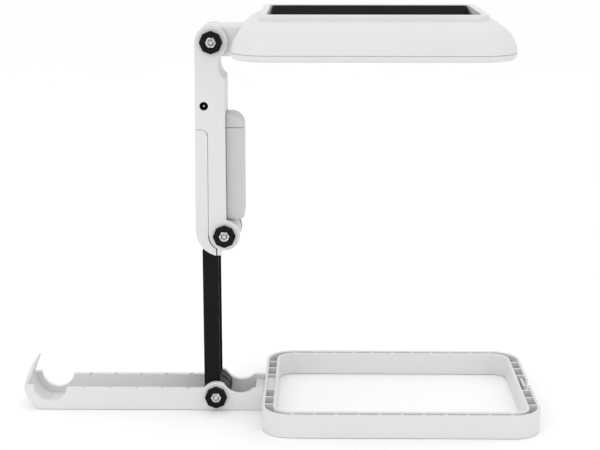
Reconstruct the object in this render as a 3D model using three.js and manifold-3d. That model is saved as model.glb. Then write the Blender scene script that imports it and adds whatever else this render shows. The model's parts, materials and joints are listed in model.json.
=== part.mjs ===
// Folding stand magnifier: a ring and channel base, two folding arms and a head with a screen.
// Millimetres. X runs along the base, Y across it, Z up from the table. The arms stand upright
// over the base hinge and the head reaches out in +X, over the ring.
import * as THREE from "three";
import { mergeVertices } from "three/addons/utils/BufferGeometryUtils.js";
import Module from "manifold-3d";

const wasm = await Module();
wasm.setup();

// ---------------------------------------------------------------- driving dimensions
const HINGE_C = { x: 0, z: 11.2 };      // base hinge
const HINGE_B = { x: 7.9, z: 139.2 };   // elbow
const HINGE_A = { x: -0.3, z: 284.8 };  // head hinge
const LOWER_ARM = { dx: HINGE_B.x - HINGE_C.x, dz: HINGE_B.z - HINGE_C.z };
const UPPER_ARM = { dx: HINGE_A.x - HINGE_B.x, dz: HINGE_A.z - HINGE_B.z };

const HALF_WIDTH = 19.4;     // outer half width of the arms and the channel
const EAR_GAP = 15.2;        // half the space between a pair of ears
const KNUCKLE_HALF = 14.4;   // half the length of a knuckle between them
const CLEAR = 0.3;           // between pieces that touch
const EAR_R = { A: 12.2, B: 11.6, C: 11.0 };
const BARREL_R = { A: 12.0, B: 11.1, C: 10.6 };
const BOLT_R = 2.0;
const NUT_R = 4.05;          // to the corners of the nuts and the bolt heads
const SLEEVE_R = 3.6;        // round the head hinge's bolt
const THROUGH = 40;          // half the length of a tool that cuts right across the stand
const OVERRUN = 1;           // how far a tool runs past the face that it cuts
const LEAST_CORNER = 1.2;    // where a corner that is drawn in stops shrinking

const RING = {
  x0: 37, width: 208, depth: 155, height: 17.2, corner: 22, wall: 10.2, skin: 2.0, longSkin: 3.4,
};
const CHANNEL = { top: 17.2, floor: 1.5, end: 37 };
const HEAD = {
  x0: 15.4, x1: 220.2, halfDepth: 76.2, corner: 30,
  bottom: 275.8, parting: 280.8, shoulder: 303.3, top: 307.4, window: 26.2, rim: 20.4,
};
const ARM = { leftTop: -12.5, leftLow: -13.9, right: 9.3, skin: 2.0, floor: 152, roof: 272.3 };
const COVER = { edge: -3.6, top: 220, corner: 5 };
const BOX = {
  right: 22.8, bottom: 150.5, seam: 220.4, top: 230.6, half: 11.8, skin: 1.6, lowCorner: 3.5, highCorner: 10,
};
const CAP = { r: 8.6, thick: 3.6, pocketR: 4.45, pocket: 2.8 };

// The elbow and the head hinge, where they lie once the stand is folded flat on its base.
const FOLDED_B = { x: HINGE_C.x - LOWER_ARM.dz, z: HINGE_C.z + LOWER_ARM.dx };
const FOLDED_A = { x: FOLDED_B.x + UPPER_ARM.dz, z: FOLDED_B.z - UPPER_ARM.dx };

// ---------------------------------------------------------------- materials
const finish = (color, roughness, metalness = 0) =>
  new THREE.MeshStandardMaterial({ color, roughness, metalness });
const WHITE = finish(0xe8e7e9, 0.45);
const BASE_WHITE = finish(0xdddce0, 0.5);
const GREY = finish(0xc9c8cb, 0.5);
const BLACK = finish(0x1c1c1e, 0.5);
const GLOSS_BLACK = finish(0x0b0b0d, 0.12);
const STEEL = finish(0xb9bcc0, 0.3, 1);
const GLASS = finish(0x101014, 0.05);
const BOARD = finish(0x1f6b3a, 0.6);
const DIFFUSER = finish(0xf4f2ea, 0.6);
const CELL = finish(0x2f6fb0, 0.4);

// ---------------------------------------------------------------- solids
const ARC = 8;   // segments of each rounded stretch of an outline

function toManifold(geometry) {
  const bare = geometry.index ? geometry.toNonIndexed() : geometry.clone();
  bare.deleteAttribute("normal");
  bare.deleteAttribute("uv");
  const merged = mergeVertices(bare, 1e-5);
  const vertProperties = new Float32Array(merged.attributes.position.array);
  return new wasm.Manifold(new wasm.Mesh({
    numProp: 3, vertProperties, triVerts: new Uint32Array(merged.index.array),
  }));
}

function toGeometry(manifold) {
  const mesh = manifold.getMesh();
  const geometry = new THREE.BufferGeometry();
  geometry.setAttribute("position", new THREE.BufferAttribute(new Float32Array(mesh.vertProperties), 3));
  geometry.setIndex(new THREE.BufferAttribute(new Uint32Array(mesh.triVerts), 1));
  geometry.computeVertexNormals();
  return geometry;
}

const join = (...solids) => solids.reduce((whole, next) => whole.add(next));
const cut = (solid, ...tools) => tools.reduce((rest, tool) => rest.subtract(tool), solid);

// An outline drawn in X and Z, given thickness along Y.
function plate(shape, y0, y1, segments = ARC) {
  const geometry = new THREE.ExtrudeGeometry(shape, {
    depth: y1 - y0, bevelEnabled: false, curveSegments: segments,
  });
  geometry.rotateX(Math.PI / 2);
  geometry.translate(0, y1, 0);
  return toManifold(geometry);
}

// An outline drawn in X and Y, given thickness along Z.
function slab(shape, z0, z1, segments = ARC) {
  const geometry = new THREE.ExtrudeGeometry(shape, {
    depth: z1 - z0, bevelEnabled: false, curveSegments: segments,
  });
  geometry.translate(0, 0, z0);
  return toManifold(geometry);
}

function block(x0, x1, y0, y1, z0, z1) {
  const geometry = new THREE.BoxGeometry(x1 - x0, y1 - y0, z1 - z0);
  geometry.translate((x0 + x1) / 2, (y0 + y1) / 2, (z0 + z1) / 2);
  return toManifold(geometry);
}

// A cylinder whose axis runs along Y.
function drum(place, radius, y0, y1, sides = 32, turn = 0) {
  const geometry = new THREE.CylinderGeometry(radius, radius, y1 - y0, sides);
  geometry.rotateY(turn);
  geometry.translate(0, (y0 + y1) / 2, 0);
  geometry.translate(place.x, 0, place.z);
  return toManifold(geometry);
}

// A cylinder that stands along Z.
function post(x, y, radius, z0, z1, sides = 16) {
  const geometry = new THREE.CylinderGeometry(radius, radius, z1 - z0, sides);
  geometry.rotateX(Math.PI / 2);
  geometry.translate(x, y, (z0 + z1) / 2);
  return toManifold(geometry);
}

function roundedRect(x0, x1, y0, y1, r) {
  const shape = new THREE.Shape();
  shape.moveTo(x0 + r, y0);
  shape.lineTo(x1 - r, y0);
  shape.absarc(x1 - r, y0 + r, r, -Math.PI / 2, 0);
  shape.lineTo(x1, y1 - r);
  shape.absarc(x1 - r, y1 - r, r, 0, Math.PI / 2);
  shape.lineTo(x0 + r, y1);
  shape.absarc(x0 + r, y1 - r, r, Math.PI / 2, Math.PI);
  shape.lineTo(x0, y0 + r);
  shape.absarc(x0 + r, y0 + r, r, Math.PI, Math.PI * 1.5);
  return shape;
}

function polygon(points) {
  const shape = new THREE.Shape();
  points.forEach(([a, b], i) => (i ? shape.lineTo(a, b) : shape.moveTo(a, b)));
  return shape;
}

// A closed skin through level rounded rectangles, each given as [inset, z] from one outline.
function domed(outline, levels, cornerSteps = 7) {
  const ring = ([inset, z]) => {
    const r = Math.max(outline.corner - inset, LEAST_CORNER);
    const x0 = outline.x0 + inset + r;
    const x1 = outline.x1 - inset - r;
    const y = outline.halfDepth - inset - r;
    const corners = [[x1, -y, -0.5], [x1, y, 0], [x0, y, 0.5], [x0, -y, 1]];
    return corners.flatMap(([cx, cy, start]) =>
      Array.from({ length: cornerSteps + 1 }, (_, i) => {
        const angle = Math.PI * (start + (0.5 * i) / cornerSteps);
        return [cx + r * Math.cos(angle), cy + r * Math.sin(angle), z];
      }));
  };
  const rings = levels.map(ring);
  const count = rings[0].length;
  const middle = (outline.x0 + outline.x1) / 2;
  const points = [...rings.flat(), [middle, 0, levels[0][1]], [middle, 0, levels.at(-1)[1]]];
  const bottom = rings.length * count;
  const faces = [];
  for (let i = 0; i < count; i++) {
    const next = (i + 1) % count;
    faces.push([bottom, next, i], [bottom + 1, bottom - count + i, bottom - count + next]);
    for (let level = 0; level + 1 < rings.length; level++) {
      const low = level * count;
      const high = low + count;
      faces.push([low + i, low + next, high + next], [low + i, high + next, high + i]);
    }
  }
  const geometry = new THREE.BufferGeometry();
  geometry.setAttribute("position", new THREE.BufferAttribute(new Float32Array(points.flat()), 3));
  geometry.setIndex(faces.flat());
  return toManifold(geometry);
}

// ---------------------------------------------------------------- the model
const stand = new THREE.Group();
// The origin is the middle of the whole stand's footprint.
const SCOOP = { r: 21.2, saddle: 12.9, shift: -1.0 };
const LEFT_END = FOLDED_B.x - SCOOP.r;
const RIGHT_END = RING.x0 + RING.width;
stand.position.x = -(LEFT_END + RIGHT_END) / 2;

function add(name, solid, material) {
  const mesh = new THREE.Mesh(toGeometry(solid), material);
  mesh.name = name;
  stand.add(mesh);
}

const bothSides = (make) => join(make(-1), make(1));
const across = (side, near, far) => (side < 0 ? [-far, -near] : [near, far]);
const sidePlates = (shape, near, far, segments = ARC) =>
  bothSides((side) => plate(shape, ...across(side, near, far), segments));
const sideDrums = (place, radius, near, far, sides = 32) =>
  bothSides((side) => drum(place, radius, ...across(side, near, far), sides));

const boltHole = (place) => drum(place, BOLT_R + CLEAR, -THROUGH, THROUGH, 12);

// ---------------------------------------------------------------- base
const BOSS = { r: 10.2, proud: 0.8 };   // raised disc round each hinge
const SCOOP_WALL = { start: 176, end: 251, steps: 12, thick: 2.6 };   // degrees about the folded elbow
const LATCH_TAB = { half: 12, root: 4 };   // half its width, and where it leaves the end wall, in degrees
const FLOOR_START = 9;                     // how far left of the folded elbow the floor begins
const FLOOR_SLOT = 7;                      // half the opening in the floor under the base hinge
const HEAD_DIP = { r: 14.3, shift: 0.8 };  // room in both walls for the folded head hinge
const SCREW_PAD = { start: 29.5, top: 3.2 };
const RING_SCREW = { x: 33, ys: [-8, 8], length: 7.6, hole: 9 };

function channelWallOutline() {
  const shape = new THREE.Shape();
  const chord = Math.sqrt(SCOOP.r ** 2 - FOLDED_B.z ** 2);
  shape.moveTo(FOLDED_B.x - chord, 0);
  shape.lineTo(CHANNEL.end - CLEAR, 0);
  shape.lineTo(CHANNEL.end - CLEAR, CHANNEL.top);
  shape.lineTo(FOLDED_B.x, CHANNEL.top);
  shape.lineTo(FOLDED_B.x, FOLDED_B.z);
  shape.lineTo(FOLDED_B.x - SCOOP.r, FOLDED_B.z);
  const lowest = Math.PI + Math.acos(chord / SCOOP.r);
  shape.absarc(FOLDED_B.x, FOLDED_B.z, SCOOP.r, Math.PI, lowest, false);
  return shape;
}

// The scoop's end wall goes on upwards as a thin latch tab.
function scoopEnd() {
  const at = (radius, degrees) => [
    FOLDED_B.x + radius * Math.cos((degrees * Math.PI) / 180),
    FOLDED_B.z + radius * Math.sin((degrees * Math.PI) / 180),
  ];
  const { start, end, steps, thick } = SCOOP_WALL;
  const outerR = SCOOP.r - 0.05;
  const innerR = SCOOP.r - thick;
  const outer = [];
  const inner = [];
  for (let i = 0; i <= steps; i++) {
    const angle = start + (i * (end - start)) / steps;
    const [x, z] = at(outerR, angle);
    outer.push([x, Math.max(z, 0)]);   // flat where it reaches the table
    inner.unshift(at(innerR, angle));
  }
  const wall = plate(polygon([...outer, ...inner]), -EAR_GAP, EAR_GAP);
  const leftOfElbow = ([x, z]) => [FOLDED_B.x - x, z];
  const innerSide = [[17.5, 24.0], [16.2, 27.0], [13.6, 34.0]].map(leftOfElbow);
  const tip = [[13.7, 35.0], [14.3, 35.4], [15.1, 35.2]].map(leftOfElbow);
  const outerSide = [[18.9, 27.8], [20.6, 23.4]].map(leftOfElbow);
  const root = start + LATCH_TAB.root;
  const tab = polygon([at(outerR, root), at(innerR, root), ...innerSide, ...tip, ...outerSide]);
  return join(wall, plate(tab, -LATCH_TAB.half, LATCH_TAB.half));
}

function baseChannel() {
  const walls = join(
    sidePlates(channelWallOutline(), EAR_GAP, HALF_WIDTH),
    sideDrums(HINGE_C, EAR_R.C, EAR_GAP, HALF_WIDTH, 40),
    sideDrums(HINGE_C, BOSS.r, HALF_WIDTH - 0.5, HALF_WIDTH + BOSS.proud),
  );
  const floorHalf = EAR_GAP + 0.5;   // the floor runs a little way into both walls
  const end = CHANNEL.end - CLEAR;
  const floor = block(FOLDED_B.x - FLOOR_START, end, -floorHalf, floorHalf, 0, CHANNEL.floor);
  const screwPad = block(SCREW_PAD.start, end, -floorHalf, floorHalf, 0, SCREW_PAD.top);
  const saddle = { x: FOLDED_B.x + SCOOP.shift, z: FOLDED_B.z };
  const dip = { x: FOLDED_A.x + HEAD_DIP.shift, z: FOLDED_A.z };
  const parts = cut(
    join(walls, floor, screwPad, scoopEnd()),
    sideDrums(saddle, SCOOP.saddle, EAR_GAP - 0.1, HALF_WIDTH + OVERRUN, 40),
    drum(dip, HEAD_DIP.r, -THROUGH, THROUGH, 40),
    boltHole(HINGE_C),
    block(HINGE_C.x - FLOOR_SLOT, HINGE_C.x + FLOOR_SLOT, -EAR_GAP, EAR_GAP, -OVERRUN, 3),
  );
  // Small nicks along the inner edge of the top of both walls.
  const NICK = { first: -21.9, last: FOLDED_B.x + 16, pitch: 20.2, half: 0.8, wall: 1.2, deep: 1.5 };
  const nicks = [];
  for (let x = NICK.first; x > NICK.last; x -= NICK.pitch) {
    nicks.push(bothSides((side) => block(
      x - NICK.half, x + NICK.half, ...across(side, EAR_GAP - OVERRUN, HALF_WIDTH - NICK.wall),
      CHANNEL.top - NICK.deep, CHANNEL.top + OVERRUN)));
  }
  return cut(parts, ...nicks, ...RING_SCREW.ys.map((y) => screwHole(RING_SCREW.x, y)));
}

const SCREW = { headR: 2.7, head: 1.3, shankR: 1.3, slotHalf: 1.3, slotWide: 0.35, slotDeep: 0.7 };
const screwHole = (x, y) => join(
  post(x, y, SCREW.headR + CLEAR, -OVERRUN, SCREW.head + CLEAR),
  post(x, y, SCREW.shankR + CLEAR, -OVERRUN, RING_SCREW.hole),
);

// A pan-head screw with a cross slot, upright, with its head at the bottom.
function screw(x, y, z, length) {
  const slot = (halfX, halfY) => block(
    x - halfX, x + halfX, y - halfY, y + halfY, z - OVERRUN, z + SCREW.slotDeep);
  const cross = join(slot(SCREW.slotHalf, SCREW.slotWide), slot(SCREW.slotWide, SCREW.slotHalf));
  return cut(join(post(x, y, SCREW.headR, z, z + SCREW.head, 12),
    post(x, y, SCREW.shankR, z, z + length, 8)), cross);
}

const PLUG_TOP = 14.6;
const TONGUE = { end: 30, low: 3.5, high: 13.6 };
const NOTCH_STEP = { deep: 4.2, half: 7, z: 8.2, wall: 1.8 };

function baseRing() {
  const x1 = RING.x0 + RING.width;
  const half = RING.depth / 2;
  const inset = (dx, r, dy = dx) => roundedRect(RING.x0 + dx, x1 - dx, -half + dy, half - dy, r);
  const wall = RING.wall;
  const outer = slab(inset(0, RING.corner), 0, RING.height);
  const opening = slab(inset(wall, RING.corner - wall), -OVERRUN, RING.height + OVERRUN);
  // The walls are thicker along the two long bars, so the trench between them is narrower there.
  const near = inset(RING.skin, RING.corner - RING.skin, RING.longSkin);
  const far = inset(wall - RING.skin, RING.corner - wall + RING.skin, wall - RING.longSkin);
  const trench = cut(
    slab(near, RING.skin, RING.height + OVERRUN),
    slab(far, 1, RING.height + 2 * OVERRUN),
  );
  const RIB = { pitch: 16.2, first: 1.6, thick: 1.7, top: RING.height - 0.6, perEnd: 3, perSide: 5 };
  const ribs = [];
  const ribAcross = (x, y, alongX) => (alongX
    ? block(x - RIB.thick / 2, x + RIB.thick / 2, y - wall / 2, y + wall / 2, 0, RIB.top)
    : block(x - wall / 2, x + wall / 2, y - RIB.thick / 2, y + RIB.thick / 2, 0, RIB.top));
  for (const side of [-1, 1]) {
    for (let i = 1; i <= RIB.perEnd; i++) {
      for (const x of [RING.x0 + wall / 2, x1 - wall / 2]) {
        ribs.push(ribAcross(x, side * (RIB.first + i * RIB.pitch), false));
      }
    }
    for (let i = -RIB.perSide; i <= RIB.perSide; i++) {
      ribs.push(ribAcross(RING.x0 + RING.width / 2 + i * RIB.pitch, side * (half - wall / 2), true));
    }
  }
  // The plug fills the bar where the channel meets it, and its tongue enters the channel.
  const plug = block(RING.x0 + 0.5, RING.x0 + wall - 0.5, -EAR_GAP, EAR_GAP, 0, PLUG_TOP);
  const tongueHalf = EAR_GAP - CLEAR;
  const tongue = block(TONGUE.end, RING.x0 + 1, -tongueHalf, tongueHalf, TONGUE.low, TONGUE.high);
  // The latch notch steps the outer wall inwards in the middle of the far bar.
  const step = x1 - NOTCH_STEP.deep;
  const { half: notchHalf, wall: notchWallThick, z: notchFloor } = NOTCH_STEP;
  const notch = block(step, x1 + OVERRUN, -notchHalf, notchHalf, notchFloor, RING.height + OVERRUN);
  const backHalf = notchHalf + 1.5;
  const notchWall = block(step - notchWallThick, step, -backHalf, backHalf, 0, RING.height);
  const holes = RING_SCREW.ys.map((y) => post(RING_SCREW.x, y, SCREW.shankR + CLEAR, 0, RING_SCREW.hole));
  const frame = join(cut(outer, opening, trench), ...ribs, plug, notchWall);
  return cut(join(cut(frame, notch), tongue), ...holes);
}

add("base_channel", baseChannel(), BASE_WHITE);
add("base_ring", baseRing(), BASE_WHITE);
RING_SCREW.ys.forEach((y, i) => {
  add(`ring_screw_${i + 1}`, screw(RING_SCREW.x, y, 0.2, RING_SCREW.length), STEEL);
});

// ---------------------------------------------------------------- lower arm
const LOWER = { left: -9.4, right: 2.8, flange: 2.2, web: 1.8, top: 129.5, foot: 12 };
const GROOVE = { half: 1.0, deep: 1.6 };   // round the base hinge's knuckle

function lowerArm() {
  const inner = KNUCKLE_HALF - LOWER.flange;
  const side = polygon([
    [LOWER.left, HINGE_C.z], [LOWER.right, HINGE_C.z], [LOWER.right, 127], [14, 130.2],
    [0.5, 146], [LOWER.left + 2, LOWER.top], [LOWER.left, LOWER.top - 3],
  ]);
  const flanges = join(
    sidePlates(side, inner, KNUCKLE_HALF),
    sideDrums(HINGE_B, BARREL_R.B, inner, KNUCKLE_HALF, 40),
  );
  const webHalf = inner + 0.5;   // the web runs a little way into both flanges
  const web = block(LOWER.left, LOWER.left + LOWER.web, -webHalf, webHalf, HINGE_C.z, LOWER.top - 3);
  const foot = block(LOWER.left, LOWER.right, -webHalf, webHalf, HINGE_C.z, HINGE_C.z + LOWER.foot);
  const barrel = drum(HINGE_C, BARREL_R.C, -KNUCKLE_HALF, KNUCKLE_HALF, 40);
  const groove = cut(
    drum(HINGE_C, BARREL_R.C + OVERRUN, -GROOVE.half, GROOVE.half, 48),
    drum(HINGE_C, BARREL_R.C - GROOVE.deep, -2 * GROOVE.half, 2 * GROOVE.half, 48),
    block(LOWER.left - 5, LOWER.right, -3 * GROOVE.half, 3 * GROOVE.half, HINGE_C.z, HINGE_B.z),
  );
  return cut(
    join(flanges, web, foot, cut(barrel, groove)),
    boltHole(HINGE_C),
    boltHole(HINGE_B),
  );
}

add("lower_arm", lowerArm(), BLACK);

// ---------------------------------------------------------------- upper arm
const SKIRT = { slit: -6.2, low: -15.6, left: -21.8, wide: 0.6 };   // from the elbow hinge
const ELBOW_TAB = { x0: -5.6, x1: -2.1, low: -15.4 };

function armOutline() {
  const shape = new THREE.Shape();
  shape.moveTo(ARM.leftLow, HINGE_B.z);
  shape.lineTo(ARM.right, HINGE_B.z);
  shape.lineTo(ARM.right, HINGE_A.z - 7);
  shape.lineTo(HINGE_A.x, HINGE_A.z);
  shape.lineTo(ARM.leftTop, HINGE_A.z);
  return shape;
}

// The cover's outline: it wraps round the left side, and its skirt hangs beside the elbow.
function coverOutline(grow) {
  const shape = new THREE.Shape();
  const { edge, top, corner } = COVER;
  const reach = EAR_R.B + 0.4 - grow;
  const slitDrop = Math.sqrt(reach ** 2 - SKIRT.slit ** 2);
  const outside = ARM.leftLow - 11;   // clear of the arm's left side
  const slit = HINGE_B.x + SKIRT.slit;
  const low = HINGE_B.z + SKIRT.low;
  shape.moveTo(outside, top + grow);
  shape.lineTo(outside, HINGE_B.z + 3);
  shape.lineTo(HINGE_B.x + SKIRT.left, HINGE_B.z + 3);
  shape.quadraticCurveTo(HINGE_B.x + SKIRT.left + 1.5, HINGE_B.z - 11.5, slit - SKIRT.wide, low);
  shape.lineTo(slit + grow, low);
  shape.lineTo(slit + grow, HINGE_B.z - slitDrop);
  const end = Math.PI + Math.asin(slitDrop / reach);
  shape.absarc(HINGE_B.x, HINGE_B.z, reach, end, Math.PI, true);
  shape.lineTo(edge + grow, top - corner);
  shape.absarc(edge - corner, top - corner, corner + grow, 0, Math.PI / 2);
  return shape;
}

// Room in the upper arm for the base hinge, where it comes once the stand is folded.
const NOTCH = { x: HINGE_B.x + LOWER_ARM.dx, z: HINGE_B.z + LOWER_ARM.dz, r: EAR_R.C + 0.5 };

function armBody() {
  const profile = armOutline();
  const tab = block(HINGE_B.x + ELBOW_TAB.x0, HINGE_B.x + ELBOW_TAB.x1, -HALF_WIDTH, HALF_WIDTH,
    HINGE_B.z + ELBOW_TAB.low, HINGE_B.z);
  const solid = join(
    plate(profile, -HALF_WIDTH, HALF_WIDTH),
    drum(HINGE_A, EAR_R.A, -HALF_WIDTH, HALF_WIDTH, 40),
    drum(HINGE_B, EAR_R.B, -HALF_WIDTH, HALF_WIDTH, 40),
    sideDrums(HINGE_A, BOSS.r + 0.5, HALF_WIDTH - 0.5, HALF_WIDTH + BOSS.proud),
    sideDrums(HINGE_B, BOSS.r, HALF_WIDTH - 0.5, HALF_WIDTH + BOSS.proud),
    tab,
  );
  const inside = HALF_WIDTH - ARM.skin;
  const left = ARM.leftTop + 1.5;
  const hollow = join(
    block(left, ARM.right - ARM.skin, -inside, inside, ARM.floor + ARM.skin, 250),
    block(left, NOTCH.x - NOTCH.r - ARM.skin, -inside, inside, 245, ARM.roof - ARM.skin),
  );
  const windowHalf = BOX.half - 2.2;
  const boxWindow = block(5, 12, -windowHalf, windowHalf, BOX.bottom + 6, BOX.top - 12);
  const between = join(
    block(-THROUGH, THROUGH, -EAR_GAP, EAR_GAP, HINGE_B.z - THROUGH, ARM.floor),
    block(-THROUGH, THROUGH, -EAR_GAP, EAR_GAP, ARM.roof, HINGE_A.z + THROUGH),
  );
  const coverSeat = plate(coverOutline(0), -THROUGH, THROUGH);
  const besideElbow = block(-THROUGH, HINGE_B.x - 15.9, -THROUGH, THROUGH, HINGE_B.z - 19, HINGE_B.z + 11);
  const shell = cut(
    solid, hollow, boxWindow, between, coverSeat, besideElbow,
    drum(NOTCH, NOTCH.r, -THROUGH, THROUGH, 40),
    drum(INLET, INLET.r + CLEAR, -THROUGH, -10, 32),
  );
  return cut(shell, boltHole(HINGE_A), boltHole(HINGE_B));
}

// The middle barrel of the elbow fills the space between the flanges of the lower arm. Its
// block reaches up to the floor of the upper arm.
function elbowBarrel() {
  const top = ARM.floor - CLEAR;
  return cut(
    join(
      drum(HINGE_B, BARREL_R.B, -BOX.half, BOX.half, 40),
      block(HINGE_B.x - 9, ARM.right, -BOX.half, BOX.half, HINGE_B.z, top),
    ),
    boltHole(HINGE_B),
  );
}

function armCover() {
  const left = (z) => ARM.leftLow + ((z - HINGE_B.z) / UPPER_ARM.dz) * (ARM.leftTop - ARM.leftLow);
  const low = HINGE_B.z - 20;
  const bodyLimit = plate(polygon([
    [left(HINGE_B.z), low], [30, low], [30, COVER.top + 5], [left(COVER.top), COVER.top + 5],
    [left(HINGE_B.z), HINGE_B.z],
  ]), -HALF_WIDTH, HALF_WIDTH);
  const whole = plate(coverOutline(-CLEAR), -HALF_WIDTH, HALF_WIDTH).intersect(bodyLimit);
  const skin = ARM.skin;
  const inside = join(
    block(left(HINGE_B.z) + skin, THROUGH, -HALF_WIDTH + skin, HALF_WIDTH - skin, ARM.floor + skin,
      COVER.top - skin),
    block(-THROUGH, THROUGH, -EAR_GAP, EAR_GAP, HINGE_B.z - THROUGH, HINGE_B.z + 1),
    block(left(HINGE_B.z) + skin, THROUGH, -EAR_GAP, EAR_GAP, HINGE_B.z - THROUGH, ARM.floor),
  );
  return cut(whole, inside);
}

// The grey box holds the battery cell against the arm.
function boxOutline(inset) {
  const shape = new THREE.Shape();
  const x0 = ARM.right + CLEAR;
  const x1 = BOX.right - inset;
  const z0 = BOX.bottom + inset;
  const z1 = BOX.top - inset;
  const low = BOX.lowCorner - inset;
  const high = BOX.highCorner - inset;
  shape.moveTo(x0, z0);
  shape.lineTo(x1 - low, z0);
  shape.absarc(x1 - low, z0 + low, low, -Math.PI / 2, 0);
  shape.lineTo(x1, z1 - high);
  shape.absarc(x1 - high, z1 - high, high, 0, Math.PI / 2);
  shape.lineTo(x0, z1);
  return shape;
}

function boxPiece(z0, z1) {
  const shell = cut(
    plate(boxOutline(0), -BOX.half, BOX.half),
    plate(boxOutline(BOX.skin), -BOX.half + BOX.skin, BOX.half - BOX.skin),
    block(5, 11, -BOX.half + BOX.skin, BOX.half - BOX.skin, BOX.bottom + BOX.skin, BOX.top - BOX.skin),
  );
  return shell.intersect(block(0, 30, -20, 20, z0, z1));
}

const BATTERY = { x: 11.8, r: 9.1, z0: 158, z1: 216 };

function batteryCell() {
  return join(
    post(BATTERY.x, 0, BATTERY.r, BATTERY.z0, BATTERY.z1, 36),
    post(BATTERY.x, 0, 2.8, BATTERY.z1 - 1, BATTERY.z1 + 1.2, 20),
  );
}

const CONTACT = { left: 5, right: 18.5, half: 6, thick: 0.6, leg: 3 };

// A spring-steel contact with a short leg that points away from the cell.
function contact(z, away) {
  const { left, right, half, thick, leg } = CONTACT;
  const legSpan = away < 0 ? [z - leg, z + thick] : [z, z + leg];
  const strip = block(left, right, -half, half, z, z + thick);
  return join(strip, block(right - thick, right, -half, half, ...legSpan));
}

const INLET = { x: -6.3, z: 237.6, r: 2.9, depth: 11 };

function powerInlet() {
  const front = -HALF_WIDTH + 0.2;
  return cut(
    drum(INLET, INLET.r, front, front + INLET.depth, 32),
    drum(INLET, INLET.r - 0.5, front - 1, front + INLET.depth - 2, 32),
  );
}

function inletPin() {
  const front = -HALF_WIDTH + 1.2;
  return drum(INLET, 0.65, front, front + INLET.depth - 3.3, 16);
}

const chargeBoard = () => block(-6.5, -4.9, -13, 13, 170, 217);

add("arm_body", armBody(), WHITE);
add("elbow_barrel", elbowBarrel(), GREY);
add("arm_cover", armCover(), WHITE);
add("battery_box", boxPiece(BOX.bottom - 1, BOX.seam - CLEAR / 2), GREY);
add("battery_box_cap", boxPiece(BOX.seam + CLEAR / 2, BOX.top + 1), GREY);
add("battery_cell", batteryCell(), CELL);
add("battery_contact_low", contact(BATTERY.z0 - 1.2, -1), STEEL);
add("battery_contact_high", contact(BATTERY.z1 + 1.7, 1), STEEL);
add("charge_board", chargeBoard(), BOARD);
add("power_inlet", powerInlet(), BLACK);
add("power_inlet_pin", inletPin(), STEEL);

// ---------------------------------------------------------------- hinge hardware
// Octagonal caps on both ears, one long bolt, its nut in the front cap and two friction washers.
const CAP_SEAT = HALF_WIDTH + BOSS.proud + CLEAR;
const WASHER_R = 7.2;
const hexagon = (place, radius, y0, y1) => drum(place, radius, y0, y1, 6, Math.PI / 6);

function hingeCap(place, side) {
  const reach = CAP_SEAT + CAP.thick;
  return cut(
    drum(place, CAP.r, ...across(side, CAP_SEAT, reach), 8),
    hexagon(place, CAP.pocketR, ...across(side, reach - CAP.pocket, reach + 1)),
    boltHole(place),
  );
}

function hingeNut(place) {
  const reach = CAP_SEAT + CAP.thick;
  return cut(
    hexagon(place, NUT_R, -reach + 0.2, -reach + CAP.pocket - CLEAR),
    drum(place, BOLT_R + 0.15, -THROUGH, 0, 12),
  );
}

function hingeBolt(place) {
  const reach = CAP_SEAT + CAP.thick;
  return join(
    drum(place, BOLT_R, -reach + 0.1, reach - 1, 12),
    hexagon(place, NUT_R, reach - CAP.pocket + CLEAR, reach - 0.2),
  );
}

function frictionWasher(place, side) {
  return cut(
    drum(place, WASHER_R, ...across(side, KNUCKLE_HALF + 0.2, EAR_GAP - 0.2), 24),
    boltHole(place),
  );
}

for (const [name, place] of [["base_hinge", HINGE_C], ["elbow", HINGE_B], ["head_hinge", HINGE_A]]) {
  add(`${name}_cap_front`, hingeCap(place, -1), BLACK);
  add(`${name}_cap_rear`, hingeCap(place, 1), BLACK);
  add(`${name}_nut`, hingeNut(place), STEEL);
  add(`${name}_bolt`, hingeBolt(place), STEEL);
  add(`${name}_washer_front`, frictionWasher(place, -1), BLACK);
  add(`${name}_washer_rear`, frictionWasher(place, 1), BLACK);
}

// A sleeve on the head hinge's bolt, which the neck grips.
const SLEEVE_HALF = 13;
add("head_hinge_sleeve", cut(
  drum(HINGE_A, SLEEVE_R, -SLEEVE_HALF, SLEEVE_HALF, 20),
  boltHole(HINGE_A),
), STEEL);

// ---------------------------------------------------------------- head
const NECK = {
  bottom: 273.8, top: HINGE_A.z + BARREL_R.A, corner: 2.5, reach: 12,
  inner: 31, innerHalf: 10, innerLow: 282, innerHigh: 294.5,
};

function neckOuter(grow) {
  const half = KNUCKLE_HALF + grow;
  const shape = roundedRect(-half, half, NECK.bottom - grow, NECK.top + grow, NECK.corner);
  const geometry = new THREE.ExtrudeGeometry(shape, { depth: 1, bevelEnabled: false, curveSegments: 5 });
  // The section is drawn in Y and Z and runs along X.
  geometry.rotateX(Math.PI / 2);
  geometry.rotateZ(Math.PI / 2);
  geometry.scale(HEAD.x0 + NECK.reach - HINGE_A.x, 1, 1);
  geometry.translate(HINGE_A.x, 0, 0);
  return toManifold(geometry);
}

function neck() {
  const reach = join(
    block(-THROUGH, HEAD.x0 - 0.2, -THROUGH, THROUGH, 260, 300),
    block(-THROUGH, HEAD.x0 + NECK.reach - 0.4, -THROUGH, THROUGH, HEAD.parting + CLEAR, 300),
  );
  const arm = neckOuter(0).intersect(reach);
  return cut(
    join(
      drum(HINGE_A, BARREL_R.A, -KNUCKLE_HALF, KNUCKLE_HALF, 40),
      arm,
      block(HEAD.x0 + 1, NECK.inner, -NECK.innerHalf, NECK.innerHalf, NECK.innerLow, NECK.innerHigh),
    ),
    drum(HINGE_A, SLEEVE_R + CLEAR, -SLEEVE_HALF - CLEAR, SLEEVE_HALF + CLEAR, 20),
    boltHole(HINGE_A),
  );
}

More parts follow.
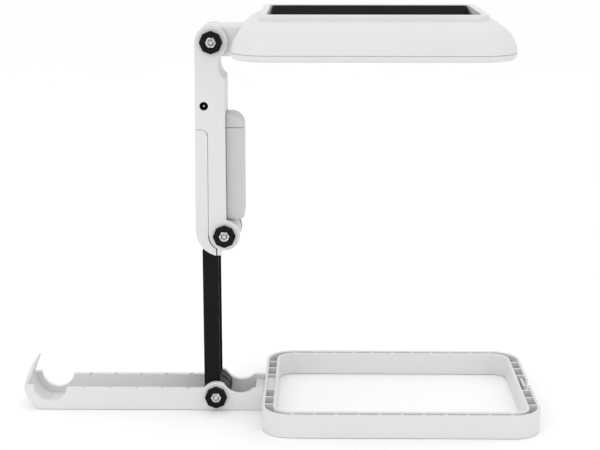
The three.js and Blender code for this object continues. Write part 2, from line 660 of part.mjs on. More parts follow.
// The head's profile above its parting line, from the widest level up to the rim.
const DOME = [
  [0, HEAD.parting], [0.6, 284.6], [1.6, 287.6], [3.0, 290.6], [5.0, 293.6],
  [7.6, 296.6], [10.2, 298.8], [13.4, 300.9], [16.8, 302.4], [HEAD.rim, HEAD.shoulder],
];
const HEAD_WALL = 2.2;

const SCREW_POSTS = [[38, -54], [38, 54], [197, -54], [197, 54]];
const BUTTONS = [["zoom_out_button", -16], ["power_button", 0], ["zoom_in_button", 16]];
const BUTTON = { z: 285.2, halfY: 4.5, halfZ: 1.7, lip: 0.9 };

function headShell() {
  const dome = domed(HEAD, DOME);
  const rim = domed(HEAD, [
    [HEAD.rim, HEAD.shoulder - 1], [HEAD.rim + 0.2, HEAD.top - 1.4], [HEAD.rim + 0.8, HEAD.top - 0.4],
    [HEAD.rim + 1.8, HEAD.top],
  ], 8);
  const inner = DOME.filter((_, i) => i % 2 === 1).map(([inset, z]) => [inset + HEAD_WALL, z - HEAD_WALL]);
  const inside = domed(HEAD, [[HEAD_WALL, HEAD.parting - 5], ...inner]);
  const roof = slab(roundedRect(HEAD.x0 + HEAD.rim, HEAD.x1 - HEAD.rim, -HEAD.halfDepth + HEAD.rim,
    HEAD.halfDepth - HEAD.rim, 8), 297, 302, 6);
  const window = domed(HEAD, [[HEAD.window, 290], [HEAD.window, 312]], 5);
  const posts = SCREW_POSTS.map(([x, y]) => post(x, y, 4, 282, 299, 20));
  const shell = cut(join(cut(join(dome, rim), inside), roof, ...posts), window);
  return cut(
    shell,
    ...SCREW_POSTS.map(([x, y]) => post(x, y, 1.5, 280, 294, 12)),
    neckOuter(CLEAR).intersect(block(0, 40, -30, 30, HEAD.parting - 1, 310)),
    ...BUTTONS.map(([, y]) => block(212, 225, y - BUTTON.halfY - CLEAR, y + BUTTON.halfY + CLEAR,
      BUTTON.z - BUTTON.halfZ - CLEAR, BUTTON.z + BUTTON.halfZ + CLEAR)),
  );
}

const CAMERA = { x: (HEAD.x0 + HEAD.x1) / 2, r: 6.0 };
const LIGHTS = [["left", -34], ["right", 34]];
const LIGHT = { halfX: 5, halfY: 38 };

function headBase() {
  const tray = domed(HEAD, [
    [3.6, HEAD.bottom], [2.0, HEAD.bottom + 0.5], [0.9, HEAD.bottom + 1.6], [0.4, HEAD.bottom + 3],
    [0.3, HEAD.parting - 0.4],
  ]);
  const inside = domed(HEAD, [[3.2, HEAD.bottom + 2], [2.6, HEAD.parting + 1]]);
  return cut(
    tray, inside,
    post(CAMERA.x, 0, CAMERA.r + CLEAR, 270, 285, 40),
    ...LIGHTS.map(([, dx]) => slab(roundedRect(CAMERA.x + dx - LIGHT.halfX - CLEAR,
      CAMERA.x + dx + LIGHT.halfX + CLEAR, -LIGHT.halfY - CLEAR, LIGHT.halfY + CLEAR, 3), 270, 285, 6)),
    ...SCREW_POSTS.map(([x, y]) => join(
      post(x, y, SCREW.headR + CLEAR, 270, HEAD.bottom + 0.9),
      post(x, y, SCREW.shankR + CLEAR, 270, 285))),
    block(0, HEAD.x0 + 4, -KNUCKLE_HALF - CLEAR, KNUCKLE_HALF + CLEAR, 278.5, 285),
  );
}

const BEZEL_BOTTOM = 299.8;

function screenBezel() {
  return cut(
    domed(HEAD, [[HEAD.window + 0.3, BEZEL_BOTTOM], [HEAD.window + 0.3, HEAD.top - 0.5]], 5),
    domed(HEAD, [[HEAD.window + 5.0, BEZEL_BOTTOM - 1], [HEAD.window + 1.2, HEAD.top]], 5),
  );
}

const levelPanel = (inset, z0, z1) => domed(HEAD, [[inset, z0], [inset, z1]], 4);

const cameraBarrel = () => cut(
  join(post(CAMERA.x, 0, CAMERA.r, 276.2, 286, 40), block(CAMERA.x - 9, CAMERA.x + 9, -9, 9, 283, 286.2)),
  post(CAMERA.x, 0, CAMERA.r - 1.2, 275, 279.5, 40),
);

function cameraLens() {
  const profile = [[0, 277.0], [2.2, 277.2], [3.6, 277.7], [4.4, 278.4], [4.4, 279.2], [0, 279.2]]
    .map(([r, z]) => new THREE.Vector2(r, z));
  const geometry = new THREE.LatheGeometry(profile, 32);
  geometry.rotateX(Math.PI / 2);
  geometry.translate(CAMERA.x, 0, 0);
  return toManifold(geometry);
}

function button(y) {
  const cap = block(213.0, HEAD.x1 + 0.6, y - BUTTON.halfY, y + BUTTON.halfY,
    BUTTON.z - BUTTON.halfZ, BUTTON.z + BUTTON.halfZ);
  const flange = block(212.0, 213.4, y - BUTTON.halfY - BUTTON.lip, y + BUTTON.halfY + BUTTON.lip,
    BUTTON.z - BUTTON.halfZ - BUTTON.lip, BUTTON.z + BUTTON.halfZ + BUTTON.lip);
  return join(cap, flange);
}

add("neck", neck(), WHITE);
add("head_shell", headShell(), WHITE);
add("head_base", headBase(), WHITE);
add("screen_bezel", screenBezel(), GLOSS_BLACK);
add("screen_glass", levelPanel(HEAD.window + 0.6, 297.9, 299.5), GLASS);
add("display_panel", levelPanel(HEAD.window + 1.2, 292.4, 297.6), BLACK);
add("main_board", block(CAMERA.x - 62, CAMERA.x + 62, -36, 36, 288, 289.6), BOARD);
add("camera_barrel", cameraBarrel(), BLACK);
add("camera_lens", cameraLens(), GLASS);
for (const [side, dx] of LIGHTS) {
  const x = CAMERA.x + dx;
  add(`light_board_${side}`, block(x - 6, x + 6, -40, 40, 280.6, 281.8), BOARD);
  add(`light_diffuser_${side}`, slab(roundedRect(x - LIGHT.halfX, x + LIGHT.halfX,
    -LIGHT.halfY, LIGHT.halfY, 3), 276.1, 280.2, 6), DIFFUSER);
}
SCREW_POSTS.forEach(([x, y], i) => add(`head_screw_${i + 1}`, screw(x, y, HEAD.bottom - 0.6, 9), STEEL));
BUTTONS.forEach(([name, y]) => add(name, button(y), GREY));

export default stand;
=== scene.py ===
"""Folding stand magnifier: fine meshes, materials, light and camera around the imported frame.

Shapes are worked out in millimetres, and MM turns them into metres.
"""
import json
import math

import bmesh
import bpy
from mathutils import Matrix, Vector


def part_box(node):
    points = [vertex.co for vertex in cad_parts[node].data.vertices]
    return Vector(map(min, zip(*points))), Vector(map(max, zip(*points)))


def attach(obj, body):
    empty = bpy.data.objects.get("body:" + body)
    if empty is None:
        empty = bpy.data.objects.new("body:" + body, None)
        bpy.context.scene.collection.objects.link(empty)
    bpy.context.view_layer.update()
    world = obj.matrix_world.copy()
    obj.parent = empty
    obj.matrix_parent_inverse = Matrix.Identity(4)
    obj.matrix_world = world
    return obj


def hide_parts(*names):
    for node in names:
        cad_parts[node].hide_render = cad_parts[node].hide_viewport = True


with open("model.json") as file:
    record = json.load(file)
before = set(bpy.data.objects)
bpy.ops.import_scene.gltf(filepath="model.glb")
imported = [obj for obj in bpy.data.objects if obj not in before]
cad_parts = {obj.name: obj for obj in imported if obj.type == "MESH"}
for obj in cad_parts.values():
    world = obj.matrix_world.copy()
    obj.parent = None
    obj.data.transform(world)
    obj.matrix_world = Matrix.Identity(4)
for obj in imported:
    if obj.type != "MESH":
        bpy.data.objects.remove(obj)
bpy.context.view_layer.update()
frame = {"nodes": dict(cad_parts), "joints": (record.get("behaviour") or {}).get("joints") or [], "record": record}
MM = 0.001
NODES = frame["nodes"]
JOINTS = {joint["name"]: joint for joint in frame["joints"]}
SLOT_OF = {part["node"]: part["material_slot"] for part in frame["record"]["subparts"]}
BODY_OF = {
    node: body
    for body, nodes in frame["record"]["behaviour"]["bodies"].items()
    for node in nodes
}
HINGES = {
    "base_hinge": Vector(JOINTS["stand_fold"]["pos_m"]),
    "elbow": Vector(JOINTS["elbow_fold"]["pos_m"]),
    "head_hinge": Vector(JOINTS["head_fold"]["pos_m"]),
}


# ------------------------------------------------------------------ camera, light and floor
CAMERA_PLACE = (0.0302, -1.0472, 0.3850)
CAMERA_DOWN = 13.0    # degrees below the horizontal
CAMERA_TURN = 0.0128  # radians to the left of +Y


def make_camera():
    data = bpy.data.cameras.new("camera")
    data.sensor_width = 36
    data.lens = 84
    camera = bpy.data.objects.new("camera", data)
    bpy.context.scene.collection.objects.link(camera)
    camera.location = CAMERA_PLACE
    camera.rotation_euler = (math.radians(90 - CAMERA_DOWN), 0, CAMERA_TURN)
    bpy.context.scene.camera = camera


def area_light(name, place, aim, size, power):
    data = bpy.data.lights.new(name, "AREA")
    data.shape = "RECTANGLE"
    data.size, data.size_y = size
    data.energy = power
    light = bpy.data.objects.new(name, data)
    bpy.context.scene.collection.objects.link(light)
    light.location = place
    light.rotation_euler = (Vector(aim) - Vector(place)).to_track_quat("-Z", "Y").to_euler()


def make_world(horizon, zenith):
    """White all round, brighter overhead than at the horizon."""
    world = bpy.data.worlds.new("studio")
    world.use_nodes = True
    nodes, links = world.node_tree.nodes, world.node_tree.links
    split = nodes.new("ShaderNodeSeparateXYZ")
    span = nodes.new("ShaderNodeMapRange")
    span.inputs["To Min"].default_value = horizon
    span.inputs["To Max"].default_value = zenith
    links.new(nodes.new("ShaderNodeTexCoord").outputs["Generated"], split.inputs["Vector"])
    links.new(split.outputs["Z"], span.inputs["Value"])
    background = nodes["Background"]
    background.inputs["Color"].default_value = (1.0, 1.0, 1.0, 1)
    links.new(span.outputs["Result"], background.inputs["Strength"])
    bpy.context.scene.world = world


def make_floor():
    mesh = bpy.data.meshes.new("floor")
    half, drop = 6.0, 0.0004   # the floor lies just below the object, so that no faces coincide
    corners = [(-half, -half), (half, -half), (half, half), (-half, half)]
    mesh.from_pydata([(x, y, -drop) for x, y in corners], [], [(0, 1, 2, 3)])
    floor = bpy.data.objects.new("floor", mesh)
    bpy.context.scene.collection.objects.link(floor)
    material, nodes, links, shader = new_material("floor_paint")
    shader.inputs["Roughness"].default_value = 0.9
    mottle(nodes, links, shader, (0.97, 0.97, 0.975), spread=0.01, scale=6)
    mesh.materials.append(material)


# ------------------------------------------------------------------ materials
def new_material(name):
    material = bpy.data.materials.new(name)
    material.use_nodes = True
    tree = material.node_tree
    return material, tree.nodes, tree.links, tree.nodes["Principled BSDF"]


def coordinates(nodes):
    return nodes.new("ShaderNodeTexCoord").outputs["Object"]


def noise(nodes, links, scale, detail=2.0):
    texture = nodes.new("ShaderNodeTexNoise")
    texture.inputs["Scale"].default_value = scale
    texture.inputs["Detail"].default_value = detail
    links.new(coordinates(nodes), texture.inputs["Vector"])
    return texture.outputs["Fac"]


def ramp(nodes, links, fac, low, high):
    """A smooth change from one colour to another as fac goes from 0.3 to 0.7."""
    mix = nodes.new("ShaderNodeValToRGB")
    mix.color_ramp.elements[0].position = 0.3
    mix.color_ramp.elements[1].position = 0.7
    mix.color_ramp.elements[0].color = (*low, 1)
    mix.color_ramp.elements[1].color = (*high, 1)
    links.new(fac, mix.inputs["Fac"])
    return mix.outputs["Color"]


def mottle(nodes, links, shader, color, spread, scale=14):
    """A colour with a slow, faint variation, as moulded plastic has."""
    low = [c * (1 - spread) for c in color]
    high = [min(c * (1 + spread), 1) for c in color]
    fac = noise(nodes, links, scale, detail=3)
    links.new(ramp(nodes, links, fac, low, high), shader.inputs["Base Color"])


def vary_roughness(nodes, links, shader, low, high, scale=60):
    span = nodes.new("ShaderNodeMapRange")
    span.inputs["From Min"].default_value = 0.3
    span.inputs["From Max"].default_value = 0.7
    span.inputs["To Min"].default_value = low
    span.inputs["To Max"].default_value = high
    links.new(noise(nodes, links, scale, detail=4), span.inputs["Value"])
    links.new(span.outputs["Result"], shader.inputs["Roughness"])


def grain(nodes, links, shader, scale, strength, distance):
    """The fine spark-eroded grain of a mould."""
    bump = nodes.new("ShaderNodeBump")
    bump.inputs["Strength"].default_value = strength
    bump.inputs["Distance"].default_value = distance
    links.new(noise(nodes, links, scale, detail=3), bump.inputs["Height"])
    links.new(bump.outputs["Normal"], shader.inputs["Normal"])


def plastic(name, color, roughness, spread=0.012, grain_scale=1800, grain_strength=0.18, specular=0.5):
    material, nodes, links, shader = new_material(name)
    shader.inputs["IOR"].default_value = 1.48
    shader.inputs["Specular IOR Level"].default_value = specular
    mottle(nodes, links, shader, color, spread)
    vary_roughness(nodes, links, shader, *roughness)
    grain(nodes, links, shader, grain_scale, grain_strength, distance=0.00004)
    return material


def white_plastic():
    return plastic("white_plastic", (0.705, 0.695, 0.703), (0.36, 0.46))


def base_plastic():
    return plastic("base_plastic", (0.72, 0.708, 0.722), (0.42, 0.52))


def grey_plastic():
    return plastic("grey_plastic", (0.575, 0.565, 0.578), (0.42, 0.5))


def black_plastic():
    return plastic("black_plastic", (0.0045, 0.0045, 0.005), (0.36, 0.48), spread=0.15,
                   grain_scale=1500, grain_strength=0.3, specular=0.13)


def gloss_black():
    return plastic("gloss_black", (0.005, 0.005, 0.006), (0.12, 0.18), spread=0.1,
                   grain_scale=900, grain_strength=0.03, specular=0.22)


def dark_glass():
    material, nodes, links, shader = new_material("dark_glass")
    mottle(nodes, links, shader, (0.004, 0.004, 0.005), spread=0.2, scale=30)
    vary_roughness(nodes, links, shader, low=0.05, high=0.09, scale=30)
    shader.inputs["Specular IOR Level"].default_value = 0.3
    return material


def steel():
    """Zinc plating: bright, a little blue, with dull specks and a fine grain."""
    material, nodes, links, shader = new_material("steel")
    shader.inputs["Metallic"].default_value = 1.0
    dull, bright = (0.22, 0.22, 0.23), (0.86, 0.87, 0.88)
    specks = ramp(nodes, links, noise(nodes, links, scale=950, detail=4), dull, bright)
    links.new(specks, shader.inputs["Base Color"])
    vary_roughness(nodes, links, shader, low=0.16, high=0.42, scale=1500)
    grain(nodes, links, shader, scale=1300, strength=0.6, distance=0.00012)
    return material


def circuit_board():
    """Green solder mask with lighter tracks in a brick pattern."""
    material, nodes, links, shader = new_material("circuit_board")
    brick = nodes.new("ShaderNodeTexBrick")
    brick.inputs["Scale"].default_value = 160
    brick.inputs["Mortar Size"].default_value = 0.06
    brick.inputs["Color1"].default_value = (0.01, 0.09, 0.035, 1)
    brick.inputs["Color2"].default_value = (0.012, 0.11, 0.04, 1)
    brick.inputs["Mortar"].default_value = (0.05, 0.24, 0.10, 1)
    links.new(coordinates(nodes), brick.inputs["Vector"])
    links.new(brick.outputs["Color"], shader.inputs["Base Color"])
    vary_roughness(nodes, links, shader, low=0.3, high=0.45, scale=300)
    return material


def diffuser():
    """Milky plastic with fine ribs that spread the light of the lamps behind it."""
    material, nodes, links, shader = new_material("diffuser")
    mottle(nodes, links, shader, (0.88, 0.87, 0.82), spread=0.02, scale=40)
    shader.inputs["Subsurface Weight"].default_value = 0.25
    shader.inputs["Subsurface Radius"].default_value = (0.003, 0.003, 0.003)
    vary_roughness(nodes, links, shader, low=0.45, high=0.6)
    wave = nodes.new("ShaderNodeTexWave")
    wave.bands_direction = "Y"
    wave.inputs["Scale"].default_value = 160
    links.new(coordinates(nodes), wave.inputs["Vector"])
    bump = nodes.new("ShaderNodeBump")
    bump.inputs["Strength"].default_value = 0.4
    bump.inputs["Distance"].default_value = 0.0002
    links.new(wave.outputs["Fac"], bump.inputs["Height"])
    links.new(bump.outputs["Normal"], shader.inputs["Normal"])
    return material


def cell_wrap():
    return plastic("cell_wrap", (0.03, 0.13, 0.35), (0.25, 0.35), spread=0.05,
                   grain_scale=500, grain_strength=0.1)


MATERIALS = {
    make.__name__: make()
    for make in (
        white_plastic, base_plastic, grey_plastic, black_plastic, gloss_black,
        dark_glass, steel, circuit_board, diffuser, cell_wrap,
    )
}


# ------------------------------------------------------------------ mesh tools
def new_object(name, points, faces):
    """A mesh from points in millimetres."""
    mesh = bpy.data.meshes.new(name)
    mesh.from_pydata([Vector(p) * MM for p in points], [], faces)
    obj = bpy.data.objects.new(name, mesh)
    bpy.context.scene.collection.objects.link(obj)
    face_outwards(obj)
    return obj


def face_outwards(obj):
    edit = bmesh.new()
    edit.from_mesh(obj.data)
    bmesh.ops.recalc_face_normals(edit, faces=edit.faces)
    edit.to_mesh(obj.data)
    edit.free()


def apply_modifiers(obj):
    graph = bpy.context.evaluated_depsgraph_get()
    mesh = bpy.data.meshes.new_from_object(obj.evaluated_get(graph))
    obj.modifiers.clear()
    obj.data = mesh


def combine(obj, tools, operation="DIFFERENCE"):
    """Cuts the tools out of obj, or joins them to it, and throws the tools away."""
    for tool in tools:
        modifier = obj.modifiers.new("combine", "BOOLEAN")
        modifier.operation = operation
        modifier.solver = "EXACT"
        modifier.object = tool
        apply_modifiers(obj)
        bpy.data.objects.remove(tool)


def weigh_normals(obj, degrees=32):
    """Smooth shading that keeps flat faces flat and sharp edges sharp."""
    obj.data.shade_smooth()
    obj.data.set_sharp_from_angle(angle=math.radians(degrees))
    modifier = obj.modifiers.new("weighted", "WEIGHTED_NORMAL")
    modifier.keep_sharp = True
    modifier.weight = 100
    apply_modifiers(obj)


def stands_for(obj, node):
    """obj is the fine mesh of a CAD node: it takes its body, its slot and its material."""
    weigh_normals(obj)
    obj.data.materials.clear()
    obj.data.materials.append(MATERIALS[SLOT_OF[node]])
    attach(obj, BODY_OF[node])
    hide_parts(node)


def clean_copy(node, weld=0.01, flat_within=1.5):
    """The CAD node's mesh with its flat faces whole again, instead of in triangles."""
    obj = bpy.data.objects.new(f"{node}_fine", NODES[node].data.copy())
    bpy.context.scene.collection.objects.link(obj)
    edit = bmesh.new()
    edit.from_mesh(obj.data)
    bmesh.ops.remove_doubles(edit, verts=edit.verts, dist=weld * MM)
    bmesh.ops.dissolve_limit(
        edit, angle_limit=math.radians(flat_within), verts=edit.verts, edges=edit.edges,
        use_dissolve_boundaries=False,
    )
    bmesh.ops.connect_verts_concave(edit, faces=edit.faces)
    edit.to_mesh(obj.data)
    edit.free()
    return obj


def bevel(obj, width, clamp=False, segments=3, degrees=28):
    modifier = obj.modifiers.new("soft_edges", "BEVEL")
    modifier.width = width * MM
    modifier.segments = segments
    modifier.limit_method = "ANGLE"
    modifier.angle_limit = math.radians(degrees)
    modifier.use_clamp_overlap = clamp
    apply_modifiers(obj)


def rounded_level(outline, inset, z, steps):
    """One level of a rounded rectangle that is drawn in by inset. Its outline gives the left and
    right ends, half the depth, the corner's radius and the least radius that a corner keeps."""
    x0, x1, half, corner, least = outline
    r = max(corner - inset, least)
    centres = [
        (x1 - inset - r, inset + r - half, -0.5), (x1 - inset - r, half - inset - r, 0.0),
        (x0 + inset + r, half - inset - r, 0.5), (x0 + inset + r, inset + r - half, 1.0),
    ]
    points = []
    for cx, cy, start in centres:
        for i in range(steps + 1):
            angle = math.pi * (start + 0.5 * i / steps)
            points.append((cx + r * math.cos(angle), cy + r * math.sin(angle), z))
    return points


def loft(name, levels, loop):
    """Skins levels of equal length: a loop closes on itself, and otherwise both ends are capped."""
    count = len(levels[0])
    points = [point for level in levels for point in level]
    faces = []
    for k in range(len(levels) if loop else len(levels) - 1):
        low, high = k * count, (k + 1) % len(levels) * count
        for i in range(count):
            j = (i + 1) % count
            faces.append((low + i, low + j, high + j, high + i))
    if not loop:
        faces.append(tuple(range(count))[::-1])
        faces.append(tuple(range(len(points) - count, len(points))))
    return new_object(name, points, faces)


def curve_through(points, steps):
    """A smooth curve through the points, each span in so many steps."""
    padded = [points[0], *points, points[-1]]
    out = []
    for k in range(1, len(padded) - 2):
        before, start, end, after = (Vector(p) for p in padded[k - 1:k + 3])
        for i in range(steps):
            t = i / steps
            out.append(tuple(
                0.5 * (2 * start + (end - before) * t
                       + (2 * before - 5 * start + 4 * end - after) * t * t
                       + (3 * start - before - 3 * end + after) * t ** 3)))
    return [*out, tuple(points[-1])]


def size_at(size, angle):
    return size(angle) if callable(size) else size


def turned(name, place, rings, steps=48, axis="Y", loop=False):
    """A turned piece: each ring gives a radius and a height along the axis, as numbers or
    as functions of the angle. The height is measured from place."""
    levels = []
    for radius, height in rings:
        level = []
        for i in range(steps):
            angle = 2 * math.pi * i / steps
            r, h = size_at(radius, angle), size_at(height, angle)
            across, up = r * math.cos(angle), r * math.sin(angle)
            offset = (across, h, up) if axis == "Y" else (across, up, h)
            level.append(tuple(a + b for a, b in zip(place, offset)))
        levels.append(level)
    return loft(name, levels, loop)


def box_tool(lo, hi):
    corners = [(x, y, z) for z in (lo[2], hi[2]) for y in (lo[1], hi[1]) for x in (lo[0], hi[0])]
    faces = [(0, 2, 3, 1), (4, 5, 7, 6), (0, 1, 5, 4), (2, 6, 7, 3), (0, 4, 6, 2), (1, 3, 7, 5)]
    return new_object("tool", corners, faces)


def box_mm(node):
    lo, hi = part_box(node)
    return lo / MM, hi / MM


def middle(node):
    lo, hi = box_mm(node)
    return (lo + hi) / 2


# ------------------------------------------------------------------ casings: softened CAD shapes
SOFT_EDGES = {
    "base_channel": 0.15, "base_ring": 0.25, "lower_arm": 0.3, "arm_body": 0.2, "arm_cover": 0.2,
    "elbow_barrel": 0.3, "battery_box": 0.3, "battery_box_cap": 0.3, "power_inlet": 0.15,
    "camera_barrel": 0.3, "light_diffuser_left": 0.4, "light_diffuser_right": 0.4,
    "power_button": 0.5, "zoom_in_button": 0.5, "zoom_out_button": 0.5,
}
CAP_EDGE = 0.45
NECK_EDGE = 0.4


def keep_inside(obj, node):
    """Brings back any point that a bevel has pushed past the CAD node's box."""
    lo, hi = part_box(node)
    for vertex in obj.data.vertices:
        vertex.co = [min(max(c, a), b) for c, a, b in zip(vertex.co, lo, hi)]


def soften(node, width, clamp=False):
    obj = clean_copy(node)
    bevel(obj, width, clamp)
    keep_inside(obj, node)
    stands_for(obj, node)


def soften_casings():
    for node, width in SOFT_EDGES.items():
        soften(node, width)
    # The neck's arm runs into its barrel at a glancing angle, so its bevels are held back.
    soften("neck", NECK_EDGE, clamp=True)
    for hinge in HINGES:
        for side in ("front", "rear"):
            soften(f"{hinge}_cap_{side}", CAP_EDGE)


# ------------------------------------------------------------------ head
# Every profile of the head is a list of insets from its outline and heights above its underside.
DOME = [
    (0, 5.2), (0.6, 8.8), (1.6, 11.8), (3.0, 14.8), (5.0, 17.8),
    (7.6, 20.8), (10.2, 23.0), (13.4, 25.1), (16.8, 26.6), (20.4, 27.5),
]
HEAD_CORNER = 30
LEAST_CORNER = 1.2   # where a corner that is drawn in stops shrinking
HEAD_STEPS = 14      # in each corner
RIM_TOP = 31.6
WINDOW = 26.2        # the window's inset
HEAD_UNDERSIDE = box_mm("head_base")[0].z
HEAD_SCREWS = [node for node in NODES if node.startswith("head_screw_")]
BUTTONS = ("power_button", "zoom_in_button", "zoom_out_button")
GAP = 0.3            # between a piece and the opening that it sits in
# How far a hole is widened at each height above the underside, which chamfers its mouth.
MOUTH = [(1.3, -1.0), (0, 0.3), (0, 8.0)]


def head_outline():
    lo, hi = box_mm("head_shell")
    return lo.x, hi.x, hi.y, HEAD_CORNER, LEAST_CORNER


def head_levels(profile):
    outline = head_outline()
    return [rounded_level(outline, inset, HEAD_UNDERSIDE + z, HEAD_STEPS) for inset, z in profile]


def head_shell():
    """The dome, its raised rim and its window wall in one swept skin, then the cut-outs."""
    dome = curve_through(DOME, 4)
    rim = [
        (20.55, 27.9), (20.6, 30.6), (20.75, 31.15), (21.1, 31.5), (21.7, RIM_TOP),
        (25.2, RIM_TOP), (25.8, 31.5), (26.1, 31.2), (WINDOW, 30.7), (WINDOW, 21.2),
    ]
    inside = [
        (20.4, 21.2), (20.4, 24.9), (15.6, 22.9), (9.8, 18.6), (5.2, 12.6), (2.8, 6.6), (2.2, 4.65),
    ]
    # The hidden lip fills the parting line, and reaches 0.35 below the CAD node.
    lip = [(0.8, 4.65), (0.8, 5.0), (0.35, 5.0)]
    shell = loft("head_shell_fine", head_levels([*dome, *rim, *inside, *lip]), loop=True)
    combine(shell, [screw_post(node) for node in HEAD_SCREWS], "UNION")
    combine(shell, [neck_seat()])
    combine(shell, [button_hole(node) for node in BUTTONS])
    stands_for(shell, "head_shell")


def screw_post(node):
    """The tube inside the shell that a screw bites into."""
    x, y, _ = middle(node)
    outer_r, bore_r, low, high = 4, 1.5, 6.2, 23.5
    rings = [(outer_r, low), (outer_r, high), (bore_r, high), (bore_r, low)]
    return turned("tool", (x, y, HEAD_UNDERSIDE), rings, 24, "Z", loop=True)


def neck_seat():
    """The space that the neck fills in the shell's left end, with a rounded section."""
    lo, hi = box_mm("neck")
    corner, steps = 2.8, 6
    seat_end = head_outline()[0] + 12
    half, top, low = hi.y + GAP, hi.z + GAP, HEAD_UNDERSIDE + 4
    section = []
    for start, cy in ((0.0, half - corner), (0.5, corner - half)):
        for i in range(steps + 1):
            angle = math.pi * (start + 0.5 * i / steps)
            section.append((cy + corner * math.cos(angle), top - corner + corner * math.sin(angle)))
    section += [(-half, low), (half, low)]
    levels = [[(x, y, z) for y, z in section] for x in (lo.x, seat_end)]
    return loft("tool", levels, loop=False)


def button_hole(node):
    """A hole for the button's cap. The flange behind the cap is wider by its lip."""
    lo, hi = box_mm(node)
    lip = 0.9
    shrink = Vector((0, lip - GAP, lip - GAP))
    overrun = Vector((3, 0, 0))
    return box_tool(lo + shrink - overrun, hi - shrink + overrun)


def head_base():
    """The lower cover: a shallow tray with openings for the camera, lights, screws and neck."""
    outside = [
        (3.6, 0), (2.75, 0.15), (2.0, 0.5), (1.35, 1.0), (0.9, 1.6), (0.6, 2.3), (0.4, 3.0), (0.3, 4.6),
    ]
    inside = [(2.8, 4.6), (3.2, 2.0)]
    tray = loft("head_base_fine", head_levels([*outside, *inside]), loop=False)
    tools = [camera_hole(), neck_notch(), *(light_slot(side) for side in ("left", "right"))]
    tools += [screw_hole(node) for node in HEAD_SCREWS]
    combine(tray, tools)
    stands_for(tray, "head_base")


def camera_hole():
    """A round hole for the camera barrel, which reaches a little beyond its lens."""
    lo, hi = box_mm("camera_lens")
    x, y, _ = middle("camera_lens")
    beyond_lens = 1.6
    r = (hi.x - lo.x) / 2 + beyond_lens + GAP
    return turned("tool", (x, y, HEAD_UNDERSIDE), [(r + wide, z) for wide, z in MOUTH], 48, "Z")


def light_slot(side):
    lo, hi = box_mm(f"light_diffuser_{side}")
    outline = (lo.x - GAP, hi.x + GAP, hi.y + GAP, 3.0, 0.5)
    levels = [rounded_level(outline, -wide, HEAD_UNDERSIDE + z, 8) for wide, z in MOUTH]
    return loft("tool", levels, loop=False)


def screw_hole(node):
    """A hole for the screw's shank, sunk at its mouth for the head."""
    x, y, _ = middle(node)
    head_r, shank_r, sunk = 3.0, 1.6, 0.9
    rings = [(head_r, -1), (head_r, sunk), (shank_r, sunk), (shank_r, 8)]
    return turned("tool", (x, y, HEAD_UNDERSIDE), rings, 32, "Z")


def neck_notch():
    """The step in the tray's left end that clears the neck."""
    half = box_mm("neck")[1].y + GAP
    left = head_outline()[0]
    return box_tool((left - 5, -half, HEAD_UNDERSIDE + 2.7), (left + 4, half, HEAD_UNDERSIDE + 9))


def screen_bezel():
    """A polished frame that slopes down from the rim to the glass."""
    outer = WINDOW + GAP
    profile = [
        (outer, 24.0), (outer, 30.7), (outer + 0.15, 30.95), (outer + 0.45, 31.0), (outer + 0.8, 30.85),
        (WINDOW + 4.7, 24.2), (WINDOW + 4.7, 24.0),
    ]
    stands_for(loft("screen_bezel_fine", head_levels(profile), loop=True), "screen_bezel")


def plate_with_soft_edge(node, soft):
    """A flat plate with the window's outline, rounded along its top and chamfered below."""
    lo, hi = box_mm(node)
    inset = lo.x - head_outline()[0]
    low, high = lo.z - HEAD_UNDERSIDE, hi.z - HEAD_UNDERSIDE
    profile = [
        (inset + soft, low), (inset, low + soft), (inset, high - soft),
        (inset + 0.3 * soft, high - 0.3 * soft), (inset + soft, high),
    ]
    stands_for(loft(f"{node}_fine", head_levels(profile), loop=False), node)


def camera_lens():
    """A lens that bulges downwards, with a straight edge above the bulge."""
    lo, hi = box_mm("camera_lens")
    x, y, _ = middle("camera_lens")
    r, height = (hi.x - lo.x) / 2, hi.z - lo.z
    bulge, steps = 1.4, 12
    rings = []
    for i in range(1, steps + 1):
        angle = math.pi / 2 * i / steps
        rings.append((r * math.sin(angle), bulge * (1 - math.cos(angle))))
    rings.append((r, height))
    stands_for(turned("camera_lens_fine", (x, y, lo.z), rings, 48, "Z"), "camera_lens")


def build_head():
    head_shell()
    head_base()
    screen_bezel()
    plate_with_soft_edge("screen_glass", 0.3)
    plate_with_soft_edge("display_panel", 0.3)
    camera_lens()


# ------------------------------------------------------------------ nuts, bolts and screws
NUT_R = 4.05   # to a corner
NUT_FACE = 0.97 * NUT_R * math.cos(math.pi / 6)   # the flat face inside the chamfer
BOLT_R = 2.0
THREAD = {"pitch": 0.7, "depth": 0.28, "length": 7.0}
TURN_STEPS = 72


def hexagon(angle):
    """The radius of a hexagon with corners to its left and right."""
    side = angle % (math.pi / 3) - math.pi / 6
    return NUT_R * math.cos(math.pi / 6) / math.cos(side)


def chamfered(face, way):
    """The height of a hexagon's edge, ground to a cone as on a standard nut."""
    return lambda angle: face - way * (hexagon(angle) - NUT_FACE) * math.tan(math.radians(30))


def on_axis(hinge):
    """The point in millimetres where the hinge's axis crosses the object's middle plane."""
    return HINGES[hinge].x / MM, 0, HINGES[hinge].z / MM


def nut(hinge):
    lo, hi = box_mm(f"{hinge}_nut")
    bore = BOLT_R + 0.12
    rings = [
        (bore, lo.y + 0.35), (bore + 0.35, lo.y), (NUT_FACE, lo.y), (hexagon, chamfered(lo.y, -1)),
        (hexagon, chamfered(hi.y, 1)), (NUT_FACE, hi.y), (bore + 0.35, hi.y), (bore, hi.y - 0.35),
    ]
    stands_for(turned(f"{hinge}_nut_fine", on_axis(hinge), rings, TURN_STEPS, loop=True), f"{hinge}_nut")


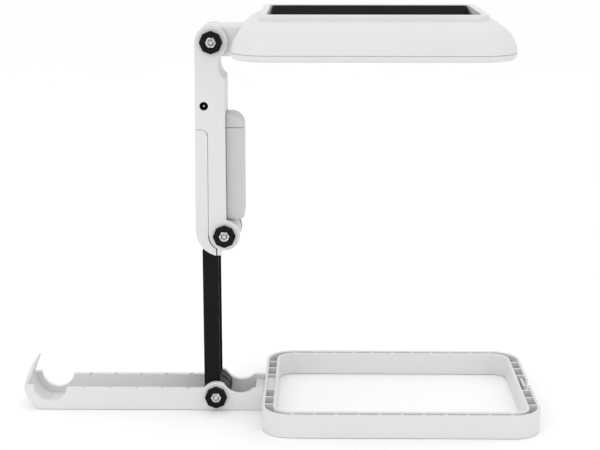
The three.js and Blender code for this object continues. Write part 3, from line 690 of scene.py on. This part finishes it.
def thread_radius(height):
    """The bolt's radius along its thread: a shallow V that climbs one pitch in each turn."""
    def at(angle):
        phase = (height / THREAD["pitch"] - angle / (2 * math.pi)) % 1
        return BOLT_R - THREAD["depth"] * abs(2 * phase - 1)
    return at


def bolt(hinge):
    lo, hi = box_mm(f"{hinge}_bolt")
    head_height, thread_start, rings_per_turn = 2.3, 0.5, 7
    head = hi.y - head_height
    count = round(THREAD["length"] / THREAD["pitch"] * rings_per_turn)
    rings = [(0.5, lo.y + 0.12), (1.2, lo.y), (BOLT_R - 0.5, lo.y + 0.05), (BOLT_R - 0.3, lo.y + 0.35)]
    for i in range(count + 1):
        height = thread_start + THREAD["length"] * i / count
        rings.append((thread_radius(height), lo.y + height))
    rings += [
        (BOLT_R, lo.y + THREAD["length"] + 0.8), (BOLT_R, head), (NUT_FACE, head),
        (hexagon, chamfered(head, -1)), (hexagon, chamfered(hi.y, 1)), (NUT_FACE, hi.y), (0.5, hi.y),
    ]
    stands_for(turned(f"{hinge}_bolt_fine", on_axis(hinge), rings, TURN_STEPS), f"{hinge}_bolt")


def screw(node):
    """A pan-head screw with a cross recess, its head at the bottom."""
    lo, hi = box_mm(node)
    x, y, _ = middle(node)
    height, head_r = hi.z - lo.z, (hi.x - lo.x) / 2
    head, shank_r = 1.3, 1.3
    slot_long, slot_wide, slot_deep = 1.35, 0.33, 0.75
    rings = [
        (0.4, 0.0), (head_r - 1.0, 0.02), (head_r - 0.35, 0.15), (head_r - 0.08, 0.4), (head_r, 0.75),
        (head_r, head), (shank_r, head), (shank_r, height - 0.8), (0.4, height),
    ]
    obj = turned(f"{node}_fine", (x, y, lo.z), rings, 40, "Z")
    slots = [
        box_tool((x - a, y - b, lo.z - 1), (x + a, y + b, lo.z + slot_deep))
        for a, b in ((slot_long, slot_wide), (slot_wide, slot_long))
    ]
    combine(obj, slots)
    stands_for(obj, node)


def build_fasteners():
    for hinge in HINGES:
        nut(hinge)
        bolt(hinge)
    for node in NODES:
        if "_screw_" in node:
            screw(node)


# ------------------------------------------------------------------ the scene
def paint_frame():
    for node, obj in NODES.items():
        obj.data.materials.clear()
        obj.data.materials.append(MATERIALS[SLOT_OF[node]])


def light_scene():
    make_world(horizon=0.95, zenith=1.05)
    area_light("key", place=(-0.9, -1.5, 1.3), aim=(0.02, 0, 0.12), size=(0.9, 0.9), power=4)
    area_light("fill", place=(1.5, -1.1, 0.7), aim=(0, 0, 0.15), size=(1.0, 1.0), power=1)
    area_light("top", place=(0.1, 0.3, 1.9), aim=(0, 0, 0), size=(1.6, 1.6), power=2)


make_camera()
paint_frame()
soften_casings()
build_head()
build_fasteners()
light_scene()
make_floor()
bpy.context.scene.view_settings.view_transform = "Standard"
